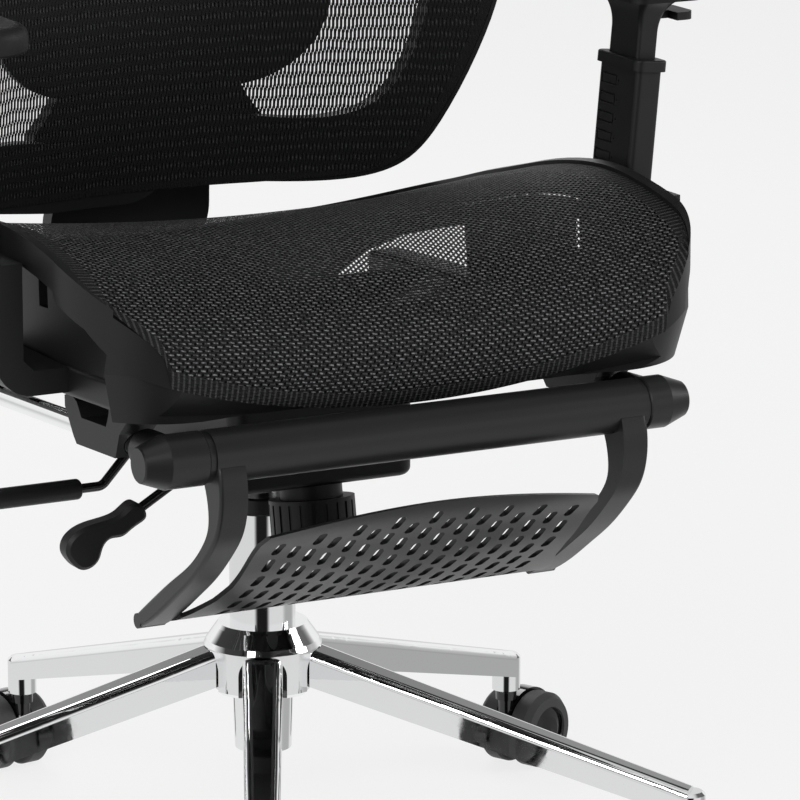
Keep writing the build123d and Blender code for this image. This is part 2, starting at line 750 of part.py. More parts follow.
def footrest_arm(side):
    """A J-shaped arm that grows out of the bar and sweeps back to a rounded tip."""
    start, end = arm_front_edge[0], arm_back_edge[-1]
    outline = side_face(Spline(*arm_front_edge), ThreePointArc(arm_front_edge[-1], arm_tip, arm_back_edge[0]),
                        Spline(*arm_back_edge), Line(end, start))
    near, far = sorted((side * leg_arm_inner, side * leg_arm_outer))
    arm = Pos(near, 0, 0) * extrude(outline, far - near)
    edges = arm.edges().filter_by(lambda e: abs(e.center().X - side * leg_arm_outer) < 0.01 and e.length > 60)
    arm = fillet(edges, 3)
    arm += rod_x(bar_r, near, far, bar_y, bar_z)
    return arm - rod_x(bar_r - arm_ring, -bar_half - 1, bar_half + 1, bar_y, bar_z)


def footrest_panel():
    shape = strip_face(panel_profile, 0, -panel_thick)
    band = Pos(-leg_arm_inner, 0, 0) * extrude(shape, 2 * leg_arm_inner)
    top_z, foot_z = panel_profile[0][1], panel_profile[-1][1]
    corner_z = top_z - panel_crown
    right = [(panel_half - 4, corner_z - 1), (panel_half, corner_z - 8), (panel_half, 300),
             (panel_half + 3, 286), (leg_arm_inner, 268)]
    left = [(-x, z) for x, z in reversed(right)]
    outline = make_face(Curve() + [
        Spline(left[-1], (-panel_half * 0.55, top_z - panel_crown * 0.38), (0, top_z),
               (panel_half * 0.55, top_z - panel_crown * 0.38), right[0]),
        Polyline(*right, (leg_arm_inner, foot_z - 30), (-leg_arm_inner, foot_z - 30), *left)])
    panel = band & (Pos(0, -100, 0) * extrude(Plane.XZ * outline, 250))
    panel -= slots()
    for side in (-1, 1):
        panel -= footrest_arm(side)
    return panel


def slots():
    """Upright slots in staggered, bowed rows, cut square to the panel's front surface."""
    line = Spline(*panel_profile)
    reach = panel_half - slot_margin
    cutters = []
    for row in range(slot_rows):
        for column in range(-5, 6):
            x = (column + row % 2 / 2) * slot_pitch
            down = slot_first + row * slot_row_pitch + slot_bow * x * x
            if abs(x) > reach or down > line.length - slot_length / 2 - 3:
                continue
            point, direction = line @ (down / line.length), line % (down / line.length)
            plane = Plane(origin=(x, point.X, point.Y), x_dir=(1, 0, 0), z_dir=(0, direction.Y, -direction.X))
            slot = Rot(0, 0, slot_turn) * SlotOverall(slot_length, slot_width)
            cutters.append(extrude(plane * slot, 7, both=True))
    return cutters


# ---------------------------------------------------------------- armrests

def post_plane(side, z):
    """A plane square to the leaning post, with its origin at height z."""
    lean = radians(post_lean)
    x = post_x + (z - post_lean_z) * tan(lean)
    return Plane(origin=(side * x, post_y, z), x_dir=(1, 0, 0), z_dir=(side * sin(lean), 0, cos(lean)))


def post_box(side, z0, z1, thick, depth, edge):
    """A rounded column along the post between two heights."""
    length = (z1 - z0) / cos(radians(post_lean))
    return extrude(post_plane(side, z0) * RectangleRounded(thick, depth, edge), length)


def arm_bracket(side):
    """A plate outside the seat whose foot turns in to the carrier's beam."""
    x0 = seat_half + 6
    x1 = x0 + post_thick
    bend = bracket_bend
    corner = (x1 - bend * (1 - sqrt(0.5)), bracket_bottom + bend * (1 - sqrt(0.5)))
    sketch = make_face(Curve() + [
        ThreePointArc((x1, bracket_bottom + bend), corner, (x1 - bend, bracket_bottom)),
        Polyline((x1 - bend, bracket_bottom), (beam_outer, bracket_bottom), (beam_outer, bracket_foot_top),
                 (x0 - 8, bracket_foot_top), (x0, bracket_foot_top + 8), (x0, bracket_top), (x1, bracket_top),
                 (x1, bracket_bottom + bend))])
    hook = Pos(0, bracket_rear, 0) * extrude(Plane.XZ * sketch, bracket_rear - bracket_front)
    if side < 0:
        hook = mirror(hook, Plane.YZ)
    return hook - post_box(side, post_foot, post_top, post_thick, post_depth, 5)


def arm_post(side):
    post = post_box(side, post_foot, post_top, post_thick, post_depth, 5)
    collar = post_box(side, post_top, post_top + collar_height, post_thick + 2 * collar_out,
                      post_depth + 2 * collar_out, 7)
    post += fillet(collar.edges().group_by(Axis.Z)[-1], 1.5)
    post -= post_box(side, post_foot + 5, post_top + collar_height + 2, slider_thick + 2 * gap,
                     slider_depth + 2 * gap, 3)
    post -= block(-999, 999, -999, 999, 0, post_foot)
    lean = radians(post_lean)
    for i in range(notch_count):
        plane = post_plane(side, post_top - 11 - i * notch_pitch)
        place = Pos(-side * post_thick / 2, post_depth / 2 - 17, 0)
        post -= plane * (place * Box(2 * notch_groove, notch_length, notch_height))
        inner = Box(notch_groove + 0.3, notch_length - 2 * notch_groove, notch_height - 2 * notch_groove)
        post += plane * (place * Pos(side * (notch_groove + 0.3) / 2, 0, 0) * inner)
        post -= plane * (place * Pos(0, -notch_length / 2 - 3, 0) * Rot(0, 90, 0) * Cylinder(0.8, 2))
    return post


def arm_slider(side):
    column = post_box(side, slider_foot, slider_head - 14, slider_thick, slider_depth, 3)
    low = post_plane(side, slider_head - 34) * RectangleRounded(slider_thick, slider_depth, 3)
    middle = post_plane(side, slider_head - 16) * RectangleRounded(slider_thick + 5, slider_depth + 8, 4)
    high = post_plane(side, slider_head - 4) * RectangleRounded(slider_thick + 18, slider_depth + 38, 6)
    x = post_plane(side, slider_head).origin.X
    plate = Pos(x, post_y, pad_bottom - gap - 4) * Box(60, 100, 8)
    plate = fillet(plate.edges().filter_by(Axis.Z), 12)
    return column + loft([low, middle, high]) + plate - trigger_space(side)


def trigger_space(side):
    """The pocket a trigger tips up in, with the bore of its pin."""
    near, far = sorted((side * (trigger_inner - 1), side * (trigger_outer + 9)))
    pocket = block(near, far, trigger_y - trigger_root / 2 - gap, trigger_y + trigger_root / 2 + gap,
                   trigger_z - gap, trigger_z + trigger_thick + trigger_lift)
    reach = trigger_root / 2 + trigger_pin_reach
    return pocket + rod_y(trigger_pin_r + run, trigger_y - reach - gap, trigger_y + reach + gap,
                          side * (trigger_inner + 4), trigger_z + trigger_thick / 2)


def arm_trigger(side):
    """A finger plate under the pad that frees the height stop."""
    near, far = sorted((side * trigger_shoulder, side * trigger_outer))
    plate = block(near, far, trigger_front, trigger_rear, trigger_z, trigger_z + trigger_thick)
    outer = plate.edges().filter_by(Axis.Z).sort_by(Axis.X)
    plate = fillet(outer[-2:] if side > 0 else outer[:2], 9)
    near, far = sorted((side * trigger_inner, side * (trigger_shoulder + 1)))
    root = block(near, far, trigger_y - trigger_root / 2, trigger_y + trigger_root / 2, trigger_z,
                 trigger_z + trigger_thick)
    reach = trigger_root / 2 + trigger_pin_reach
    return plate + root + rod_y(trigger_pin_r, trigger_y - reach, trigger_y + reach,
                                side * (trigger_inner + 4), trigger_z + trigger_thick / 2)


def arm_pad(side):
    x = post_plane(side, slider_head).origin.X + pad_out * side
    length = pad_rear - pad_front
    sketch = Pos(x, (pad_rear + pad_front) / 2) * RectangleRounded(2 * pad_half, length, 34)
    pad = Pos(0, 0, pad_bottom) * extrude(sketch, pad_thick)
    return fillet(pad.edges().group_by(Axis.Z)[-1], 8)


# ---------------------------------------------------------------- backrest

def around_back(points, near, far, half_width):
    """A band along an upright profile, wrapped about the sitter."""
    axis_y = min(y for y, _ in back_profile) - wrap_r
    reach = degrees(asin(min(0.95, half_width / wrap_r)))
    axis = Axis((0, axis_y, 0), (0, 0, 1))
    face = strip_face(points, near, far).rotate(axis, -reach)
    return revolve(face, axis, 2 * reach)


def back_prism(outline, depth0=-40, depth1=420):
    return Pos(0, depth1, 0) * extrude(Plane.XZ * outline, depth1 - depth0)


def stretched(points, amount):
    """A profile whose two ends run on in line by an amount."""
    def beyond(a, b):
        size = hypot(a[0] - b[0], a[1] - b[1])
        return a[0] + (a[0] - b[0]) / size * amount, a[1] + (a[1] - b[1]) / size * amount
    return [beyond(points[0], points[1]), *points, beyond(points[-1], points[-2])]


def back_frame():
    reach = max(x for x, _ in back_outline) + 4
    ring = around_back(stretched(back_profile, 6), back_mesh_thick, back_mesh_thick + back_ring_thick, reach)
    return ring & (back_prism(closed_half(back_outline)) - back_prism(closed_half(back_window)))


def back_mesh():
    reach = max(x for x, _ in back_outline) + 4
    sheet = around_back(stretched(back_profile, 6), 0, back_mesh_thick, reach)
    inner = [(x * 0.985, 773.5 + (z - 773.5) * 0.988) for x, z in back_outline]
    return sheet & back_prism(closed_half(inner))


def lumbar_pad():
    reach = max(x for x, _ in lumbar_outline) + 4
    pad = around_back(stretched(back_profile, 6), lumbar_front, lumbar_back, reach)
    return pad & back_prism(closed_half(lumbar_outline))


def spine_line():
    """The front surface of the upright, which meets the back of the frame above its foot."""
    behind = back_mesh_thick + back_ring_thick
    upper = [p for p in shifted(back_profile, behind) if p[1] > spine_front[-1][1] + 20]
    return spine_front + upper


def back_spine():
    half = max(x for x, _ in spine_outline) + 4
    plate = around_back(spine_line(), 0, spine_thick, half)
    right = [(x, z) for x, z in spine_outline]
    left = [(-x, z) for x, z in reversed(spine_outline)]
    outline = make_face(Curve() + [Spline(*right), Line(right[-1], left[0]), Spline(*left),
                                   Line(left[-1], right[0])])
    plate &= back_prism(outline)
    for side in (-1, 1):
        plate += rod_y(11, 190, 236, side * 44, 524) - around_back(spine_line(), 1, 90, 120)
    return plate - around_back(stretched(back_profile, 6), -60, back_mesh_thick + back_ring_thick, 150)


def back_bracket():
    """The arm from the recline pin back and up to the upright."""
    t = bracket_arm_thick
    foot = spine_front[0][0] + spine_thick
    line = [(recline_y, recline_z), (recline_y + 60, recline_z + 2), (foot - 6, recline_z + 14),
            (foot + t / 2, recline_z + 46), (foot + t / 2, 470)]
    arm = strip_face(line, -t / 2, t / 2)
    arm = Pos(-bracket_arm_half, 0, 0) * extrude(arm, 2 * bracket_arm_half)
    arm += rod_x(16, -ear_inner + gap, ear_inner - gap, recline_y, recline_z)
    plate = side_prism([(foot - 3, 428), (foot + 9, 428), (foot + 9, 486), (foot - 14, 486)],
                       -bracket_arm_half - 14, bracket_arm_half + 14)
    arm += plate
    arm -= rod_x(recline_pin_r + run, -100, 100, recline_y, recline_z)
    return arm - around_back(spine_line(), -40, spine_thick, 120)


def recline_axle():
    reach = ear_inner + ear_thick
    pin = rod_x(recline_pin_r, -reach, reach, recline_y, recline_z)
    return pin + rod_x(recline_pin_r + 4, reach, reach + 4, recline_y, recline_z)


# ---------------------------------------------------------------- headrest

def head_place(z):
    """A plane across the leaning headrest stem at height z."""
    lean = radians(head_lean)
    y = head_stem_y + (z - 1045) * tan(lean)
    return Plane(origin=(0, y, z), x_dir=(1, 0, 0), z_dir=(0, sin(lean), cos(lean)))


def headrest_parts():
    stem = extrude(head_place(985) * RectangleRounded(2 * head_stem_half, head_stem_thick, 2.5),
                   (head_pivot_z - 6 - 985) / cos(radians(head_lean)))
    pivot = head_place(head_pivot_z).origin
    knuckle = rod_x(9, -head_stem_half, head_stem_half, pivot.Y, pivot.Z)
    stem += knuckle
    axis = Axis((0, head_y - head_wrap_r, 0), (0, 0, 1))
    reach = degrees(asin((head_half + 4) / head_wrap_r))
    line = [(head_y + 14, head_bottom), (head_y + 2, head_bottom + 36), (head_y, head_bottom + 74),
            (head_y + 6, head_bottom + 110), (head_y + 18, head_top)]

    def shell(near, far):
        face = strip_face(stretched(line, 4), near, far).rotate(axis, -reach)
        return revolve(face, axis, 2 * reach)

    def outline(inset):
        sketch = Pos(0, (head_bottom + head_top) / 2) * RectangleRounded(
            2 * (head_half - inset), head_top - head_bottom - 2 * inset, 52 - inset)
        return back_prism(sketch)

    frame = shell(2.5, 13) & (outline(0) - outline(17))
    frame += shell(2.5 + 4, 13) & back_prism(Pos(0, (head_bottom + head_top) / 2) * Rectangle(
        44, head_top - head_bottom - 20))
    mesh = shell(0, 2.5) & outline(3)
    for side in (-1, 1):
        near, far = sorted((side * (head_stem_half + gap), side * (head_stem_half + 5)))
        lug = side_prism([(head_y + 8, head_pivot_z - 12), (pivot.Y + 9, head_pivot_z - 9),
                          (pivot.Y + 9, head_pivot_z + 9), (head_y + 8, head_pivot_z + 12)], near, far)
        frame += lug - shell(-40, 8)
    pin_reach = head_stem_half + 5
    stem -= rod_x(4 + run, -60, 60, pivot.Y, pivot.Z)
    frame += rod_x(4, -pin_reach, pin_reach, pivot.Y, pivot.Z)
    return stem, frame, mesh


def headrest_sleeve():
    """The sleeve on the back of the upright that the stem slides in."""
    outer = extrude(head_place(1000) * RectangleRounded(2 * head_stem_half + 12, head_stem_thick + 12, 4), 48)
    link = block(-head_stem_half, head_stem_half, 235, 285, 1004, 1040)
    sleeve = outer + link
    sleeve -= around_back(spine_line(), -60, spine_thick, 120)
    return sleeve - extrude(head_place(960) * RectangleRounded(
        2 * (head_stem_half + gap), head_stem_thick + 2 * gap, 2.5 + gap), 120)


# ---------------------------------------------------------------- the nodes

def build():
    nodes["star_base"] = [star_base()]
    nodes["caster_stems"] = caster_stems()
    for i in range(leg_count):
        body, wheels = caster(i)
        nodes[f"caster_body_{i + 1}"] = [body]
        nodes[f"caster_wheels_{i + 1}"] = [wheels]
    tube, bush, bearing, rod, cylinder = gas_lift()
    nodes["lift_tube"] = [tube]
    nodes["lift_bush"] = [bush]
    nodes["lift_bearing"] = bearing
    nodes["lift_rod"] = [rod]
    nodes["lift_cylinder"] = [cylinder]
    nodes["mechanism_housing"] = [mechanism()]
    nodes["tension_spring"], nodes["tension_bolt"] = ([s] for s in tension_parts())
    nodes["tension_knob"] = [tension_knob()]
    nodes["recline_axle"] = [recline_axle()]
    names = ("height_lever", "height_paddle", "recline_lever", "recline_grip")
    for name, solid in zip(names, levers()):
        nodes[name] = [solid]
    nodes["seat_frame"] = [seat_frame()]
    nodes["seat_mesh"] = [seat_mesh()]
    nodes["seat_carrier"] = [seat_carrier()]
    nodes["seat_screws"] = seat_screws()
    nodes["footrest_axle"] = [footrest_axle()]
    nodes["footrest_bar"] = [footrest_bar()]
    nodes["footrest_panel"] = [footrest_panel()]
    for word, side in (("left", -1), ("right", 1)):
        nodes[f"rail_guide_{word}"] = [rail_guide(side)]
        nodes[f"footrest_rail_{word}"] = [rail(side)]
        nodes[f"pivot_cap_{word}"] = [pivot_cap(side)]
        nodes[f"footrest_arm_{word}"] = [footrest_arm(side)]
        nodes[f"arm_bracket_{word}"] = [arm_bracket(side)]
        nodes[f"arm_post_{word}"] = [arm_post(side)]
        nodes[f"arm_slider_{word}"] = [arm_slider(side)]
        nodes[f"arm_trigger_{word}"] = [arm_trigger(side)]
        nodes[f"arm_pad_{word}"] = [arm_pad(side)]
    nodes["back_bracket"] = [back_bracket()]
    nodes["back_spine"] = [back_spine()]
    nodes["back_frame"] = [back_frame()]
    nodes["back_mesh"] = [back_mesh()]
    nodes["lumbar_pad"] = [lumbar_pad()]
    nodes["headrest_sleeve"] = [headrest_sleeve()]
    stem, frame, mesh = headrest_parts()
    nodes["headrest_stem"] = [stem]
    nodes["headrest_frame"] = [frame]
    nodes["headrest_mesh"] = [mesh]


def write():
    for name, pieces in nodes.items():
        solids = [solid for piece in pieces for solid in piece.solids()]
        shape = solids[0] if len(solids) == 1 else Compound(children=solids)
        export_step(shape, f"parts/{name}.step")
        print(name, len(solids), "solids")


build()
write()
print(len(nodes), "nodes")
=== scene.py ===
import bpy
import bmesh
from math import asin, cos, hypot, pi, radians, sin, sqrt
from mathutils import Matrix, Vector


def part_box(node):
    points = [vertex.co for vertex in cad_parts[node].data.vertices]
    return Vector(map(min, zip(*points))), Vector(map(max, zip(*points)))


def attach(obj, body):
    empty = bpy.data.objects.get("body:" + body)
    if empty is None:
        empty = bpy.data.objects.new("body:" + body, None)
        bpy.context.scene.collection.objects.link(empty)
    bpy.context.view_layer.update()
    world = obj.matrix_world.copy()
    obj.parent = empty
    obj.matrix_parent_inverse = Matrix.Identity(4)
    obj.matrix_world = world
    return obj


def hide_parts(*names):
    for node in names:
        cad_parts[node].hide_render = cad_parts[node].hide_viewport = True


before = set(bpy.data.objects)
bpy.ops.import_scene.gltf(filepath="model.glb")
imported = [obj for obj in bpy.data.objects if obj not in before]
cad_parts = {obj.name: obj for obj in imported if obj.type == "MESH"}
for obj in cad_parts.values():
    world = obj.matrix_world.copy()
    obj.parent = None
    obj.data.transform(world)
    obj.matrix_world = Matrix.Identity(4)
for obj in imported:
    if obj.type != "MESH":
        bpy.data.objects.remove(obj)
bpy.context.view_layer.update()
print("frame loaded,", len(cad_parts), "nodes")

collection = bpy.context.scene.collection


def linear(red, green, blue):
    # an sRGB colour from 0 to 255 as linear light
    def one(value):
        value /= 255
        return value / 12.92 if value <= 0.04045 else ((value + 0.055) / 1.055) ** 2.4
    return one(red), one(green), one(blue), 1.0


# ---- shader groups

def newGroup(name, inputs, outputs):
    group = bpy.data.node_groups.new(name, "ShaderNodeTree")
    for label, kind, value in inputs:
        socket = group.interface.new_socket(label, in_out="INPUT", socket_type=kind)
        if value is not None:
            socket.default_value = value
    for label, kind in outputs:
        group.interface.new_socket(label, in_out="OUTPUT", socket_type=kind)
    source = group.nodes.new("NodeGroupInput")
    sink = group.nodes.new("NodeGroupOutput")
    return group, source, sink


def mathNode(tree, operation, first, second=None, third=None):
    node = tree.nodes.new("ShaderNodeMath")
    node.operation = operation
    for slot, value in zip(node.inputs, (first, second, third)):
        if value is None:
            continue
        if isinstance(value, (int, float)):
            slot.default_value = value
        else:
            tree.links.new(value, slot)
    return node.outputs[0]


def rangeNode(tree, value, low, high, toLow, toHigh, smooth=True):
    node = tree.nodes.new("ShaderNodeMapRange")
    node.interpolation_type = "SMOOTHSTEP" if smooth else "LINEAR"
    tree.links.new(value, node.inputs["Value"])
    node.inputs["From Min"].default_value = low
    node.inputs["From Max"].default_value = high
    node.inputs["To Min"].default_value = toLow
    node.inputs["To Max"].default_value = toHigh
    return node.outputs["Result"]


def noiseNode(tree, vector, scale, detail=2.0, rough=0.5):
    node = tree.nodes.new("ShaderNodeTexNoise")
    tree.links.new(vector, node.inputs["Vector"])
    if isinstance(scale, (int, float)):
        node.inputs["Scale"].default_value = scale
    else:
        tree.links.new(scale, node.inputs["Scale"])
    node.inputs["Detail"].default_value = detail
    node.inputs["Roughness"].default_value = rough
    return node.outputs["Fac"]


def mixColour(tree, factor, first, second):
    node = tree.nodes.new("ShaderNodeMix")
    node.data_type = "RGBA"
    tree.links.new(factor, node.inputs[0])
    for slot, value in ((node.inputs[6], first), (node.inputs[7], second)):
        if isinstance(value, tuple):
            slot.default_value = value
        else:
            tree.links.new(value, slot)
    return node.outputs[2]


grainInRoughness = 0.12


def makeGrainGroup():
    # moulded or sprayed surface: fine grain, faint cloudiness and a little handling dust
    group, source, sink = newGroup("mouldedGrain", [
        ("Vector", "NodeSocketVector", None),
        ("Grain Scale", "NodeSocketFloat", 900.0),
        ("Cloud Scale", "NodeSocketFloat", 9.0),
        ("Cloud", "NodeSocketFloat", 0.15),
        ("Colour", "NodeSocketColor", (0.02, 0.02, 0.02, 1)),
        ("Roughness", "NodeSocketFloat", 0.4),
        ("Roughness Spread", "NodeSocketFloat", 0.08)],
        [("Colour", "NodeSocketColor"), ("Roughness", "NodeSocketFloat"), ("Height", "NodeSocketFloat")])
    vector = source.outputs["Vector"]
    grain = noiseNode(group, vector, source.outputs["Grain Scale"], 3.0, 0.6)
    cloud = noiseNode(group, vector, source.outputs["Cloud Scale"], 4.0, 0.55)
    cloudShift = mathNode(group, "SUBTRACT", cloud, 0.5)
    lift = mathNode(group, "MULTIPLY", cloudShift, source.outputs["Cloud"])
    brightness = mathNode(group, "ADD", lift, 1.0)
    scale = group.nodes.new("ShaderNodeVectorMath")
    scale.operation = "SCALE"
    group.links.new(source.outputs["Colour"], scale.inputs[0])
    group.links.new(brightness, scale.inputs["Scale"])
    spread = mathNode(group, "MULTIPLY", cloudShift, source.outputs["Roughness Spread"])
    grainShift = mathNode(group, "MULTIPLY", mathNode(group, "SUBTRACT", grain, 0.5), grainInRoughness)
    rough = mathNode(group, "ADD", mathNode(group, "ADD", spread, grainShift), source.outputs["Roughness"])
    group.links.new(scale.outputs[0], sink.inputs["Colour"])
    group.links.new(rough, sink.inputs["Roughness"])
    group.links.new(grain, sink.inputs["Height"])
    return group


grainGroup = makeGrainGroup()


def newMaterial(name):
    material = bpy.data.materials.new(name)
    material.use_nodes = True
    tree = material.node_tree
    shader = next(node for node in tree.nodes if node.type == "BSDF_PRINCIPLED")
    return material, tree, shader


def grainMaterial(name, look):
    # a solid finish whose grain reads object coordinates
    material, tree, shader = newMaterial(name)
    coordinate = tree.nodes.new("ShaderNodeTexCoord")
    group = tree.nodes.new("ShaderNodeGroup")
    group.node_tree = grainGroup
    tree.links.new(coordinate.outputs["Object"], group.inputs["Vector"])
    group.inputs["Colour"].default_value = look["colour"]
    group.inputs["Roughness"].default_value = look["roughness"]
    group.inputs["Roughness Spread"].default_value = look.get("spread", 0.08)
    group.inputs["Grain Scale"].default_value = look["grainScale"]
    group.inputs["Cloud Scale"].default_value = look.get("cloudScale", 9.0)
    group.inputs["Cloud"].default_value = look.get("cloud", 0.15)
    tree.links.new(group.outputs["Colour"], shader.inputs["Base Color"])
    tree.links.new(group.outputs["Roughness"], shader.inputs["Roughness"])
    bump = tree.nodes.new("ShaderNodeBump")
    bump.inputs["Strength"].default_value = look.get("bump", 0.1)
    bump.inputs["Distance"].default_value = look.get("bumpDepth", 0.0002)
    tree.links.new(group.outputs["Height"], bump.inputs["Height"])
    tree.links.new(bump.outputs["Normal"], shader.inputs["Normal"])
    shader.inputs["Metallic"].default_value = look.get("metallic", 0.0)
    shader.inputs["Specular IOR Level"].default_value = look.get("specular", 0.5)
    shader.inputs["Coat Weight"].default_value = look.get("coat", 0.0)
    shader.inputs["Coat Roughness"].default_value = look.get("coatRoughness", 0.1)
    return material


finishes = {
    "chrome": dict(colour=(0.88, 0.885, 0.89, 1), roughness=0.04, spread=0.03, grainScale=160.0, cloud=0.02,
                   bump=0.02, bumpDepth=0.00004, metallic=1.0),
    "steel": dict(colour=(0.62, 0.63, 0.64, 1), roughness=0.26, spread=0.1, grainScale=700.0, cloud=0.08,
                  bump=0.08, bumpDepth=0.0001, metallic=1.0),
    "leverBlack": dict(colour=linear(12, 12, 13), roughness=0.18, grainScale=420.0, bump=0.05, specular=0.4,
                       coat=0.25),
    "satinBlack": dict(colour=linear(24, 24, 25), roughness=0.44, grainScale=1500.0, bump=0.14,
                       bumpDepth=0.0002, specular=0.32),
    "powderBlack": dict(colour=linear(27, 27, 28), roughness=0.36, grainScale=1100.0, bump=0.12,
                        bumpDepth=0.0002, specular=0.38),
    "glossBlack": dict(colour=linear(10, 10, 11), roughness=0.12, grainScale=500.0, bump=0.03, coat=0.5,
                       coatRoughness=0.06),
    "softPad": dict(colour=linear(21, 21, 22), roughness=0.55, grainScale=1700.0, bump=0.3,
                    bumpDepth=0.0002, cloud=0.12, specular=0.3),
}
materials = {name: grainMaterial(name, look) for name, look in finishes.items()}
print("finishes made")

nodeFinish = {
    "chrome": ["star_base", "lift_tube", "lift_cylinder", "footrest_rail_left", "footrest_rail_right"],
    "steel": ["caster_stems", "lift_bearing", "lift_rod", "tension_spring", "tension_bolt", "recline_axle",
              "seat_screws", "footrest_axle"],
    "leverBlack": ["height_lever", "recline_lever", "headrest_stem"],
    "powderBlack": ["footrest_bar", "footrest_arm_left", "footrest_arm_right", "footrest_panel",
                    "pivot_cap_left", "pivot_cap_right"],
    "glossBlack": [f"caster_body_{index}" for index in range(1, 6)],
    "softPad": ["arm_pad_left", "arm_pad_right"],
}


def paint(nodeName, material):
    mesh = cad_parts[nodeName].data
    if not mesh.materials:
        mesh.materials.append(material)
    for index in range(len(mesh.materials)):
        mesh.materials[index] = material


finished = set()
for finish, names in nodeFinish.items():
    for name in names:
        paint(name, materials[finish])
        finished.add(name)
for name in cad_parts:
    if name not in finished:
        paint(name, materials["satinBlack"])
print("finishes given to the nodes")


# ---- woven mesh

mm = 0.001
stepsPerSpan = 12
weldDistance = 0.00002


def smoothLine(points):
    # Catmull-Rom through the points
    line = []
    padded = [points[0]] + list(points) + [points[-1]]
    for a, b, c, d in zip(padded, padded[1:], padded[2:], padded[3:]):
        for index in range(stepsPerSpan):
            t = index / stepsPerSpan
            line.append(tuple(
                0.5 * (2 * q + (r - p) * t
                       + (2 * p - 5 * q + 4 * r - s) * t * t
                       + (3 * q - p - 3 * r + s) * t ** 3)
                for p, q, r, s in zip(a, b, c, d)))
    line.append(tuple(points[-1]))
    return line


def measured(line):
    # the running length along a line, for each of its points
    lengths = [0.0]
    for a, b in zip(line, line[1:]):
        lengths.append(lengths[-1] + hypot(b[0] - a[0], b[1] - a[1]))
    return lengths


def along(line, lengths, distance):
    for index in range(1, len(line)):
        if distance <= lengths[index] or index == len(line) - 1:
            span = lengths[index] - lengths[index - 1]
            t = (distance - lengths[index - 1]) / span
            a, b = line[index - 1], line[index]
            return a[0] + (b[0] - a[0]) * t, a[1] + (b[1] - a[1]) * t


def atHeight(line, lengths, z):
    # the depth of an upright profile at a height, and the running length up to it
    index = next(i for i in range(1, len(line)) if line[i][1] >= z or i == len(line) - 1)
    a, b = line[index - 1], line[index]
    t = (z - a[1]) / (b[1] - a[1])
    return a[0] + (b[0] - a[0]) * t, lengths[index - 1] + (lengths[index] - lengths[index - 1]) * t


def wovenSheet(name, columns, rows, place, material):
    # place(u, v) gives a point, its cloth coordinates, and its distance from the hem and along it
    mesh = bpy.data.meshes.new(name)
    bm = bmesh.new()
    bmesh.ops.create_grid(bm, x_segments=columns, y_segments=rows, size=0.5)
    clothLayer = bm.loops.layers.uv.new("cloth")
    hemLayer = bm.loops.layers.uv.new("hem")
    cloth, hem = {}, {}
    bm.verts.index_update()
    for vert in bm.verts:
        vert.co, cloth[vert.index], hem[vert.index] = place(vert.co.x + 0.5, vert.co.y + 0.5)
    for face in bm.faces:
        face.smooth = True
        for loop in face.loops:
            loop[clothLayer].uv = cloth[loop.vert.index]
            loop[hemLayer].uv = hem[loop.vert.index]
    bmesh.ops.remove_doubles(bm, verts=bm.verts, dist=weldDistance)
    bmesh.ops.recalc_face_normals(bm, faces=bm.faces)
    bm.to_mesh(mesh)
    bm.free()
    mesh.materials.append(material)
    piece = bpy.data.objects.new(name, mesh)
    collection.objects.link(piece)
    return piece


def hemPlace(side, end, across, distance):
    # distance to the nearer hem and the running place along it, from millimetres
    return Vector((side, distance) if side < end else (end, across)) * mm


def wrapped(x, y, z, axisY, distance, side, end):
    # a place of a sheet that bends round an upright axis
    radius = y - axisY
    angle = asin(x / radius)
    across = radius * angle
    return (Vector((x, axisY + radius * cos(angle), z)) * mm, Vector((across * mm, distance * mm)),
            hemPlace(side, end, across, distance))


weave = dict(
    wanderScale=60.0, wander=0.7, tilt=0.35,
    dashSide=(0.12, 0.3), dashEnd=(-0.08, 0.04), holeEnd=(-0.02, 0.03), holeSide=(0.4, 0.44), holeDepth=0.6,
    patchScale=420.0, patch=(0.4, 0.66), faintest=0.12, groundRoughness=0.7, hemEdge=0.001, ribRise=0.9,
    bumpDepth=0.0006, specular=0.3)


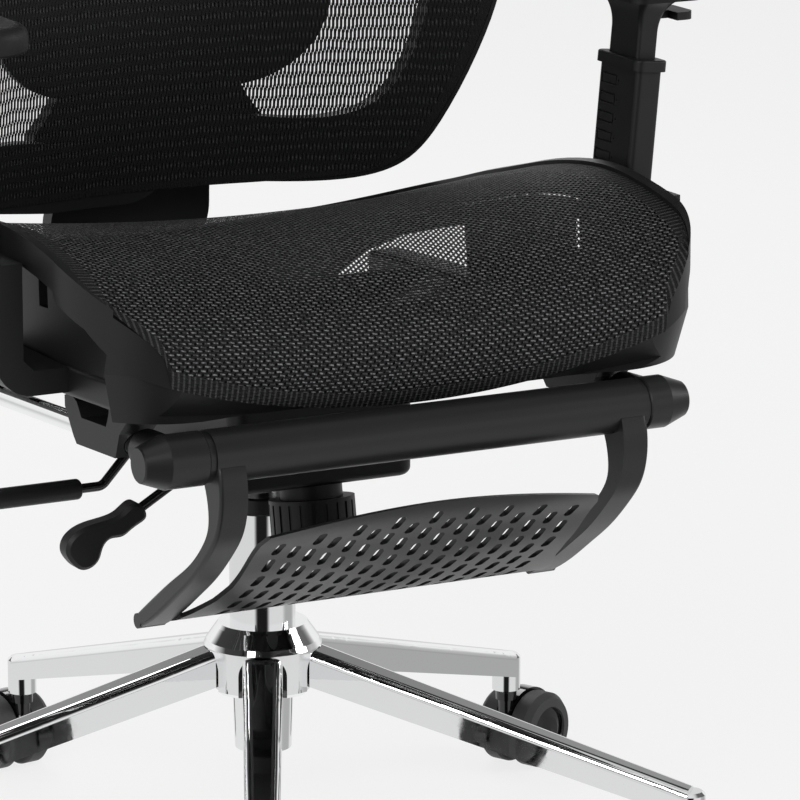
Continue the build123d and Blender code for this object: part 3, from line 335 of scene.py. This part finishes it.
def makeWeaveGroup():
    # yarns that float across and dip in turn, with open holes between them, on cloth coordinates
    group, source, sink = newGroup("wovenMesh", [
        ("Vector", "NodeSocketVector", None),
        ("Across", "NodeSocketFloat", 0.004),
        ("Along", "NodeSocketFloat", 0.0027),
        ("Slant", "NodeSocketFloat", 0.4),
        ("Hole", "NodeSocketFloat", 0.4),
        ("Dash", "NodeSocketFloat", 0.55)],
        [("Yarn Glint", "NodeSocketFloat"), ("Hole", "NodeSocketFloat"), ("Height", "NodeSocketFloat")])
    split = group.nodes.new("ShaderNodeSeparateXYZ")
    group.links.new(source.outputs["Vector"], split.inputs[0])
    wander = noiseNode(group, source.outputs["Vector"], weave["wanderScale"], 2.0)
    wanderShift = mathNode(group, "MULTIPLY", mathNode(group, "SUBTRACT", wander, 0.5), weave["wander"])
    across = mathNode(group, "DIVIDE", split.outputs["X"], source.outputs["Across"])
    rows = mathNode(group, "ADD", mathNode(group, "DIVIDE", split.outputs["Y"], source.outputs["Along"]),
                    wanderShift)
    row = mathNode(group, "FLOOR", rows)
    shifted = mathNode(group, "ADD", across, mathNode(group, "MULTIPLY", row, source.outputs["Slant"]))
    cellX = mathNode(group, "FRACT", shifted)
    cellY = mathNode(group, "FRACT", rows)
    # a dash lies across each cell and tilts a little; it is the yarn float, and also where the painted glint
    # goes
    tilt = mathNode(group, "MULTIPLY", mathNode(group, "SUBTRACT", cellX, 0.5), weave["tilt"])
    fromRow = mathNode(group, "ADD", mathNode(group, "SUBTRACT", cellY, 0.5), tilt)
    middleY = mathNode(group, "ABSOLUTE", fromRow)
    middleX = mathNode(group, "ABSOLUTE", mathNode(group, "SUBTRACT", cellX, 0.5))
    bodyY = rangeNode(group, middleY, *weave["dashSide"], 1.0, 0.0)
    dashEnd = mathNode(group, "MULTIPLY", source.outputs["Dash"], 0.5)
    overEnd = mathNode(group, "SUBTRACT", middleX, dashEnd)
    bodyX = rangeNode(group, overEnd, *weave["dashEnd"], 1.0, 0.0)
    yarnGlint = mathNode(group, "MULTIPLY", bodyX, bodyY)
    # holes sit between the dashes
    holeCell = mathNode(group, "FRACT", mathNode(group, "ADD", shifted, 0.5))
    holeX = mathNode(group, "ABSOLUTE", mathNode(group, "SUBTRACT", holeCell, 0.5))
    holeEdge = mathNode(group, "SUBTRACT", mathNode(group, "MULTIPLY", source.outputs["Hole"], 0.5), holeX)
    openX = rangeNode(group, holeEdge, *weave["holeEnd"], 0.0, 1.0)
    openY = rangeNode(group, middleY, *weave["holeSide"], 1.0, 0.0)
    hole = mathNode(group, "MULTIPLY", openX, openY)
    height = mathNode(group, "SUBTRACT", yarnGlint, mathNode(group, "MULTIPLY", hole, weave["holeDepth"]))
    group.links.new(yarnGlint, sink.inputs["Yarn Glint"])
    group.links.new(hole, sink.inputs["Hole"])
    group.links.new(height, sink.inputs["Height"])
    return group


weaveGroup = makeWeaveGroup()


def weaveMaterial(name, look):
    material, tree, shader = newMaterial(name)
    uvMap = tree.nodes.new("ShaderNodeUVMap")
    uvMap.uv_map = "cloth"
    group = tree.nodes.new("ShaderNodeGroup")
    group.node_tree = weaveGroup
    tree.links.new(uvMap.outputs["UV"], group.inputs["Vector"])
    for label in ("Across", "Along", "Slant", "Hole", "Dash"):
        group.inputs[label].default_value = look[label.lower()]
    yarnGlint, hole = group.outputs["Yarn Glint"], group.outputs["Hole"]
    # the painted glint on the yarn fades in random patches
    patch = noiseNode(tree, uvMap.outputs["UV"], weave["patchScale"], 2.0)
    yarnGlint = mathNode(tree, "MULTIPLY", yarnGlint, rangeNode(tree, patch, *weave["patch"], weave["faintest"], 1.0))
    # the hem is closed, and ribbed where it is piped; the ribs are drawn only as a painted glint along their
    # crests
    hemMap = tree.nodes.new("ShaderNodeUVMap")
    hemMap.uv_map = "hem"
    split = tree.nodes.new("ShaderNodeSeparateXYZ")
    tree.links.new(hemMap.outputs["UV"], split.inputs[0])
    hem = rangeNode(tree, split.outputs["X"], look["hem"], look["hem"] + weave["hemEdge"], 1.0, 0.0)
    wave = mathNode(tree, "SINE", mathNode(tree, "MULTIPLY", split.outputs["Y"], 2 * pi / look["rib"]))
    ridgeGlint = rangeNode(tree, wave, 0.0, weave["ribRise"], 0.0, look["ribGlint"])
    rib = mathNode(tree, "MULTIPLY", mathNode(tree, "MULTIPLY", ridgeGlint, patch), hem)
    body = mathNode(tree, "SUBTRACT", 1.0, hem)
    yarnGlint = mathNode(tree, "ADD", mathNode(tree, "MULTIPLY", yarnGlint, body), rib)
    hole = mathNode(tree, "MULTIPLY", hole, body)
    # the yarn dashes are painted a light grey glint over the near-black ground: a painted highlight, not the
    # yarn's own colour
    colour = mixColour(tree, yarnGlint, look["ground"], look["yarnGlint"])
    tree.links.new(colour, shader.inputs["Base Color"])
    rough = rangeNode(tree, group.outputs["Yarn Glint"], 0.0, 1.0, weave["groundRoughness"], look["yarnRoughness"])
    tree.links.new(rough, shader.inputs["Roughness"])
    closed = mathNode(tree, "SUBTRACT", 1.0, hole)
    tree.links.new(closed, shader.inputs["Alpha"])
    bump = tree.nodes.new("ShaderNodeBump")
    bump.inputs["Strength"].default_value = look["bump"]
    bump.inputs["Distance"].default_value = weave["bumpDepth"]
    tree.links.new(group.outputs["Height"], bump.inputs["Height"])
    tree.links.new(bump.outputs["Normal"], shader.inputs["Normal"])
    shader.inputs["Specular IOR Level"].default_value = weave["specular"]
    return material


# ground is the near-black yarn colour; the lighter grey is a painted glint on the yarn dashes, and the rib
# value a painted glint on the rib crests
seatCloth = dict(
    across=0.0062, along=0.0029, slant=0.42, hole=0.26, dash=0.66, bump=0.8,
    ground=linear(8, 8, 9), yarnGlint=linear(122, 122, 124), yarnRoughness=0.5,
    hem=0.013, rib=0.0042, ribGlint=0.35)
backCloth = dict(
    across=0.0031, along=0.009, slant=0.5, hole=0.3, dash=0.4, bump=0.4,
    ground=linear(8, 8, 9), yarnGlint=linear(58, 58, 60), yarnRoughness=0.55,
    hem=0.006, rib=0.004, ribGlint=0.0)
seatWeave = weaveMaterial("seatWeave", seatCloth)
backWeave = weaveMaterial("backWeave", backCloth)

seat = dict(
    profile=[(-251, 424), (-259, 438), (-263, 456), (-259, 474), (-247, 489), (-230, 500.5),
             (-200, 515), (-150, 526), (-100, 530.5), (-50, 527), (0, 518), (50, 505.5), (100, 493),
             (150, 479), (200, 466), (226, 459)],
    top=530.5, sagRadius=1900, half=242, frontMiddle=-196.5, frontCorner=72, rearMiddle=165, rearCorner=40,
    lipZ=424, lipRadius=600, under=1.2, sideGap=0.05, halvings=18, slopeStep=2, columns=96, rows=120)


def seatSheet():
    line = smoothLine(seat["profile"])
    lengths = measured(line)
    axisZ = seat["top"] + seat["sagRadius"]

    def sag(x, z):
        return (axisZ - z) - sqrt((axisZ - z) ** 2 - x * x)

    def planFront(x):
        over = max(0.0, abs(x) - (seat["half"] - seat["frontCorner"]))
        return seat["frontMiddle"] - sqrt(max(0.0, seat["frontCorner"] ** 2 - over * over))

    def planRear(x):
        over = max(0.0, abs(x) - (seat["half"] - seat["rearCorner"]))
        return seat["rearMiddle"] + sqrt(max(0.0, seat["rearCorner"] ** 2 - over * over))

    def allowed(x, y, z):
        lip = seat["lipZ"] + seat["lipRadius"] - sqrt(seat["lipRadius"] ** 2 - x * x)
        return z + sag(x, z) >= lip and planFront(x) <= y <= planRear(x)

    def reach(x):
        # first and last length along the profile that the sheet covers at this place across the seat
        inside = [index for index, (y, z) in enumerate(line) if allowed(x, y, z)]
        last = inside[-1]
        first = last
        while first - 1 in inside:
            first -= 1
        ends = []
        for near, far in ((first, first - 1), (last, last + 1)):
            if not 0 <= far < len(line):
                ends.append(lengths[near])
                continue
            low, high = 0.0, 1.0
            for _ in range(seat["halvings"]):
                t = (low + high) / 2
                y = line[near][0] + (line[far][0] - line[near][0]) * t
                z = line[near][1] + (line[far][1] - line[near][1]) * t
                if allowed(x, y, z):
                    low = t
                else:
                    high = t
            ends.append(lengths[near] + (lengths[far] - lengths[near]) * low)
        return ends

    known = {}

    def place(u, v):
        x = sin((u - 0.5) * pi) * (seat["half"] - seat["sideGap"])
        key = round(x, 5)
        if key not in known:
            known[key] = reach(x)
        start, end = known[key]
        distance = start + (end - start) * v
        y, z = along(line, lengths, distance)
        y0, z0 = along(line, lengths, max(0.0, distance - seat["slopeStep"]))
        y1, z1 = along(line, lengths, min(lengths[-1], distance + seat["slopeStep"]))
        size = hypot(y1 - y0, z1 - z0)
        # step in from the sheet's upper face
        y += (z1 - z0) / size * seat["under"]
        z -= (y1 - y0) / size * seat["under"]
        radius = axisZ - z
        angle = asin(x / radius)
        point = Vector((x, y, axisZ - radius * cos(angle))) * mm
        return (point, Vector((x * mm, distance * mm)),
                hemPlace(seat["half"] - abs(x), min(distance - start, end - distance), x, distance))

    piece = wovenSheet("seatSheet", seat["columns"], seat["rows"], place, seatWeave)
    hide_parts("seat_mesh")
    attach(piece, "seat")
    return piece


seatSheet()
print("seat sheet stretched")

back = dict(
    profile=[(192, 497), (184, 560), (179, 630), (181, 700), (190, 780), (205, 870), (225, 960), (247, 1050)],
    outline=[(0, 497), (150, 500), (200, 516), (224, 553), (244, 606), (257, 655), (263, 725), (258, 820),
             (244, 910), (222, 980), (178, 1029), (100, 1047), (0, 1050)],
    wrap=430, narrower=0.985, lower=0.988, middleZ=773.5, under=1.2, lowGap=0.6, highGap=0.3,
    columns=80, rows=120)


def backSheet():
    line = smoothLine(back["profile"])
    lengths = measured(line)
    axisY = min(y for y, z in back["profile"]) - back["wrap"]
    edge = smoothLine([(x * back["narrower"], back["middleZ"] + (z - back["middleZ"]) * back["lower"])
                       for x, z in back["outline"]])

    def halfAt(z):
        best = 0.0
        for a, b in zip(edge, edge[1:]):
            low, high = sorted((a[1], b[1]))
            if low <= z <= high and high > low:
                t = (z - a[1]) / (b[1] - a[1])
                best = max(best, a[0] + (b[0] - a[0]) * t)
        return best

    bottom, top = edge[0][1], edge[-1][1]

    def place(u, v):
        ease = 0.5 - 0.5 * cos(pi * v)
        z = bottom + (top - bottom) * ease
        z = min(max(z, bottom + back["lowGap"]), top - back["highGap"])
        x = (u - 0.5) * 2 * halfAt(z)
        y, distance = atHeight(line, lengths, z)
        return wrapped(x, y + back["under"], z, axisY, distance, halfAt(z) - abs(x), min(z - bottom, top - z))

    piece = wovenSheet("backSheet", back["columns"], back["rows"], place, backWeave)
    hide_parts("back_mesh")
    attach(piece, "back")
    return piece


backSheet()
print("back sheet stretched")

head = dict(
    line=[(238, 1098), (226, 1134), (224, 1172), (230, 1208), (242, 1236)],
    wrap=330, half=145, low=1101, high=1233, corner=49, under=1.2, columns=48, rows=40)


def headSheet():
    line = smoothLine(head["line"])
    lengths = measured(line)
    axisY = min(y for y, z in head["line"]) - head["wrap"]

    def halfAt(z):
        over = max(head["low"] + head["corner"] - z, z - head["high"] + head["corner"], 0.0)
        return head["half"] - head["corner"] + sqrt(max(0.0, head["corner"] ** 2 - over * over))

    def place(u, v):
        ease = 0.5 - 0.5 * cos(pi * v)
        z = head["low"] + (head["high"] - head["low"]) * ease
        x = (u - 0.5) * 2 * halfAt(z)
        y, distance = atHeight(line, lengths, z)
        return wrapped(x, y + head["under"], z, axisY, distance, halfAt(z) - abs(x),
                       min(z - head["low"], head["high"] - z))

    piece = wovenSheet("headSheet", head["columns"], head["rows"], place, backWeave)
    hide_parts("headrest_mesh")
    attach(piece, "headrest")
    return piece


headSheet()
print("headrest sheet stretched")


# ---- arm pads

padShape = dict(corner=0.034, cornerSteps=10, top=0.009, topSteps=6, foot=0.0025, footSteps=2,
                sharp=0.5, close=0.0001)


def armPad(side):
    nodeName = "arm_pad_" + side
    low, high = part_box(nodeName)
    middle = (low + high) / 2
    size = high - low
    bm = bmesh.new()
    bmesh.ops.create_cube(bm, size=1.0)
    bmesh.ops.scale(bm, vec=size, verts=bm.verts)
    corners = [edge for edge in bm.edges
               if abs(edge.verts[0].co.z - edge.verts[1].co.z) > padShape["close"]]
    bmesh.ops.bevel(bm, geom=corners, offset=padShape["corner"], segments=padShape["cornerSteps"],
                    profile=0.5, affect="EDGES", material=-1, clamp_overlap=True)

    def rim(sign):
        # the sharp edges round the upper or the lower face
        level = size.z / 2 - padShape["close"]
        return [edge for edge in bm.edges
                if all(sign * vert.co.z > level for vert in edge.verts)
                and len(edge.link_faces) == 2 and abs(edge.calc_face_angle(0)) > padShape["sharp"]]

    for sign, offset, steps in ((1, padShape["top"], padShape["topSteps"]),
                                (-1, padShape["foot"], padShape["footSteps"])):
        bmesh.ops.bevel(bm, geom=rim(sign), offset=offset, segments=steps, profile=0.5, affect="EDGES",
                        material=-1)
    bmesh.ops.translate(bm, vec=middle, verts=bm.verts)
    for face in bm.faces:
        face.smooth = True
    mesh = bpy.data.meshes.new("armPad_" + side)
    bm.to_mesh(mesh)
    bm.free()
    mesh.materials.append(materials["softPad"])
    piece = bpy.data.objects.new("armPad_" + side, mesh)
    collection.objects.link(piece)
    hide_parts(nodeName)
    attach(piece, "pad_" + side)
    return piece


for side in ("left", "right"):
    armPad(side)
print("arm pads made")


# ---- casters

caster = dict(
    radius=0.3345, trail=0.0236, axle=0.031, leg=-116.5, headings=(250, 330, 24, 100, 200),
    hubRadius=0.0195, hubEdge=0.0003, grainScale=1300.0, bump=0.08, bumpDepth=0.0002,
    hub=linear(9, 9, 10), tread=linear(58, 58, 59), hubRoughness=0.1, treadRoughness=0.6)


def makeWheelGroup():
    # 1 on the wheel's hub, 0 on its tread and side, from the distance to the axle
    group, source, sink = newGroup("wheelHub", [
        ("Vector", "NodeSocketVector", None),
        ("Centre", "NodeSocketVector", None),
        ("Heading", "NodeSocketVector", None),
        ("Radius", "NodeSocketFloat", caster["hubRadius"])],
        [("Hub", "NodeSocketFloat"), ("Height", "NodeSocketFloat")])
    offset = group.nodes.new("ShaderNodeVectorMath")
    offset.operation = "SUBTRACT"
    group.links.new(source.outputs["Vector"], offset.inputs[0])
    group.links.new(source.outputs["Centre"], offset.inputs[1])
    ahead = group.nodes.new("ShaderNodeVectorMath")
    ahead.operation = "DOT_PRODUCT"
    group.links.new(offset.outputs[0], ahead.inputs[0])
    group.links.new(source.outputs["Heading"], ahead.inputs[1])
    split = group.nodes.new("ShaderNodeSeparateXYZ")
    group.links.new(offset.outputs[0], split.inputs[0])
    square = mathNode(group, "ADD", mathNode(group, "POWER", ahead.outputs["Value"], 2.0),
                      mathNode(group, "POWER", split.outputs["Z"], 2.0))
    distance = mathNode(group, "SQRT", square)
    over = mathNode(group, "SUBTRACT", distance, source.outputs["Radius"])
    hub = rangeNode(group, over, -caster["hubEdge"], caster["hubEdge"], 1.0, 0.0)
    group.links.new(hub, sink.inputs["Hub"])
    grain = noiseNode(group, source.outputs["Vector"], caster["grainScale"], 3.0)
    group.links.new(grain, sink.inputs["Height"])
    return group


wheelGroup = makeWheelGroup()

def casterWheels(index):
    leg = radians(caster["leg"] + 72 * index)
    turn = radians(caster["headings"][index])
    heading = Vector((cos(turn), sin(turn), 0))
    centre = Vector((cos(leg), sin(leg), 0)) * caster["radius"] + heading * caster["trail"]
    centre.z = caster["axle"]
    material, tree, shader = newMaterial(f"wheel{index + 1}")
    coordinate = tree.nodes.new("ShaderNodeTexCoord")
    group = tree.nodes.new("ShaderNodeGroup")
    group.node_tree = wheelGroup
    tree.links.new(coordinate.outputs["Object"], group.inputs["Vector"])
    group.inputs["Centre"].default_value = centre
    group.inputs["Heading"].default_value = heading
    hub = group.outputs["Hub"]
    tree.links.new(mixColour(tree, hub, caster["tread"], caster["hub"]), shader.inputs["Base Color"])
    tree.links.new(rangeNode(tree, hub, 0.0, 1.0, caster["treadRoughness"], caster["hubRoughness"]),
                   shader.inputs["Roughness"])
    bump = tree.nodes.new("ShaderNodeBump")
    bump.inputs["Strength"].default_value = caster["bump"]
    bump.inputs["Distance"].default_value = caster["bumpDepth"]
    tree.links.new(group.outputs["Height"], bump.inputs["Height"])
    tree.links.new(bump.outputs["Normal"], shader.inputs["Normal"])
    paint(f"caster_wheels_{index + 1}", material)


for index in range(5):
    casterWheels(index)
print("casters finished")


# ---- studio

studio = dict(
    floorSize=30.0, fleckScale=30.0, floorTones=((0.90, 0.90, 0.90, 1), (0.92, 0.92, 0.92, 1)),
    floorGlow=(0.925, 0.925, 0.925, 1), glowShare=0.86,
    bands=((0.0, 0.95), (0.30, 0.9), (0.42, 0.62), (0.5, 0.9), (0.63, 0.95), (0.71, 0.05), (0.9, 0.03),
           (0.96, 0.7), (1.0, 0.9)),
    flag=dict(towards=(-0.466, -0.885, 0), edge=(0.88, 0.97), top=(0.8, 0.95), tone=(0.012, 0.012, 0.012, 1)),
    card=dict(towards=(0.979, -0.204, 0), edge=(0.84, 0.98), share=0.6, tone=(0.2, 0.2, 0.2, 1)),
    plainLight=0.45, backdrop=(0.913, 0.913, 0.913, 1))


def makeFloor():
    mesh = bpy.data.meshes.new("studioFloor")
    bm = bmesh.new()
    bmesh.ops.create_grid(bm, x_segments=1, y_segments=1, size=studio["floorSize"])
    bm.to_mesh(mesh)
    bm.free()
    material, tree, shader = newMaterial("floorPaper")
    output = next(node for node in tree.nodes if node.type == "OUTPUT_MATERIAL")
    coordinate = tree.nodes.new("ShaderNodeTexCoord")
    fleck = noiseNode(tree, coordinate.outputs["Object"], studio["fleckScale"], 3.0)
    tone = mixColour(tree, fleck, *studio["floorTones"])
    tree.links.new(tone, shader.inputs["Base Color"])
    shader.inputs["Roughness"].default_value = 0.9
    shader.inputs["Specular IOR Level"].default_value = 0.1
    glow = tree.nodes.new("ShaderNodeEmission")
    glow.inputs["Color"].default_value = studio["floorGlow"]
    seen = tree.nodes.new("ShaderNodeLightPath")
    straight = mathNode(tree, "MAXIMUM", seen.outputs["Is Camera Ray"], seen.outputs["Is Transmission Ray"])
    share = mathNode(tree, "MULTIPLY", straight, studio["glowShare"])
    mixed = tree.nodes.new("ShaderNodeMixShader")
    tree.links.new(share, mixed.inputs[0])
    tree.links.new(shader.outputs[0], mixed.inputs[1])
    tree.links.new(glow.outputs[0], mixed.inputs[2])
    # mirrors look through the paper at the studio's own bands
    clear = tree.nodes.new("ShaderNodeBsdfTransparent")
    last = tree.nodes.new("ShaderNodeMixShader")
    tree.links.new(seen.outputs["Is Glossy Ray"], last.inputs[0])
    tree.links.new(mixed.outputs[0], last.inputs[1])
    tree.links.new(clear.outputs[0], last.inputs[2])
    tree.links.new(last.outputs[0], output.inputs["Surface"])
    mesh.materials.append(material)
    floor = bpy.data.objects.new("studioFloor", mesh)
    collection.objects.link(floor)


def makeWorld():
    world = bpy.data.worlds.new("studio")
    bpy.context.scene.world = world
    world.use_nodes = True
    tree = world.node_tree
    tree.nodes.clear()
    output = tree.nodes.new("ShaderNodeOutputWorld")
    coordinate = tree.nodes.new("ShaderNodeTexCoord")
    split = tree.nodes.new("ShaderNodeSeparateXYZ")
    tree.links.new(coordinate.outputs["Generated"], split.inputs[0])
    ramp = tree.nodes.new("ShaderNodeValToRGB")
    height = rangeNode(tree, split.outputs["Z"], -1.0, 1.0, 0.0, 1.0, smooth=False)
    tree.links.new(height, ramp.inputs["Fac"])
    elements = ramp.color_ramp.elements
    while len(elements) < len(studio["bands"]):
        elements.new(0.5)
    for element, (position, value) in zip(elements, studio["bands"]):
        element.position = position
        element.color = (value, value, value, 1)
    # a black flag stands on the camera's side
    flat = tree.nodes.new("ShaderNodeCombineXYZ")
    tree.links.new(split.outputs["X"], flat.inputs["X"])
    tree.links.new(split.outputs["Y"], flat.inputs["Y"])
    unit = tree.nodes.new("ShaderNodeVectorMath")
    unit.operation = "NORMALIZE"
    tree.links.new(flat.outputs[0], unit.inputs[0])
    flag, card = studio["flag"], studio["card"]

    def facing(panel):
        node = tree.nodes.new("ShaderNodeVectorMath")
        node.operation = "DOT_PRODUCT"
        tree.links.new(unit.outputs[0], node.inputs[0])
        node.inputs[1].default_value = panel["towards"]
        return node.outputs["Value"]

    flagCover = mathNode(tree, "MULTIPLY", rangeNode(tree, facing(flag), *flag["edge"], 0.0, 1.0),
                         rangeNode(tree, split.outputs["Z"], *flag["top"], 1.0, 0.0))
    # and a grey card at its right
    cardCover = rangeNode(tree, facing(card), *card["edge"], 0.0, card["share"])
    shade = mixColour(tree, cardCover, ramp.outputs["Color"], card["tone"])
    shade = mixColour(tree, flagCover, shade, flag["tone"])
    path = tree.nodes.new("ShaderNodeLightPath")
    reflected = tree.nodes.new("ShaderNodeBackground")
    tree.links.new(shade, reflected.inputs["Color"])
    plain = tree.nodes.new("ShaderNodeBackground")
    plain.inputs["Color"].default_value = (1, 1, 1, 1)
    plain.inputs["Strength"].default_value = studio["plainLight"]
    seen = tree.nodes.new("ShaderNodeBackground")
    seen.inputs["Color"].default_value = studio["backdrop"]
    first = tree.nodes.new("ShaderNodeMixShader")
    tree.links.new(path.outputs["Is Glossy Ray"], first.inputs[0])
    tree.links.new(plain.outputs[0], first.inputs[1])
    tree.links.new(reflected.outputs[0], first.inputs[2])
    second = tree.nodes.new("ShaderNodeMixShader")
    straight = mathNode(tree, "MAXIMUM", path.outputs["Is Camera Ray"], path.outputs["Is Transmission Ray"])
    tree.links.new(straight, second.inputs[0])
    tree.links.new(first.outputs[0], second.inputs[1])
    tree.links.new(seen.outputs[0], second.inputs[2])
    tree.links.new(second.outputs[0], output.inputs["Surface"])


lampSet = {
    "keyLamp": dict(place=(-2.6, -2.6, 2.6), aim=(0, 0, 0.5), size=1.8, power=70),
    "sideLamp": dict(place=(2.8, -1.6, 1.9), aim=(0, 0, 0.5), size=1.5, power=34),
    "rearLamp": dict(place=(0.6, 2.8, 2.6), aim=(0, 0, 0.6), size=1.8, power=34),
}


def makeLamps():
    for name, lamp in lampSet.items():
        data = bpy.data.lights.new(name, "AREA")
        data.size = lamp["size"]
        data.energy = lamp["power"]
        lampObject = bpy.data.objects.new(name, data)
        place = Vector(lamp["place"])
        turn = (Vector(lamp["aim"]) - place).to_track_quat("-Z", "Y").to_matrix().to_4x4()
        lampObject.matrix_world = Matrix.Translation(place) @ turn
        collection.objects.link(lampObject)


photoCamera = dict(place=(-1.7142, -3.4765, 1.28965), aim=(0.07896, -0.07351, 0.38056), lens=238.82)


def makeCamera():
    data = bpy.data.cameras.new("photoCamera")
    data.lens = photoCamera["lens"]
    data.sensor_width = 36.0
    data.clip_end = 100.0
    camera = bpy.data.objects.new("photoCamera", data)
    place = Vector(photoCamera["place"])
    turn = (Vector(photoCamera["aim"]) - place).to_track_quat("-Z", "Y").to_matrix().to_4x4()
    camera.matrix_world = Matrix.Translation(place) @ turn
    collection.objects.link(camera)
    bpy.context.scene.camera = camera


makeFloor()
makeWorld()
makeLamps()
makeCamera()
bpy.context.scene.view_settings.view_transform = "Standard"
print("studio made")

bpy.context.view_layer.update()
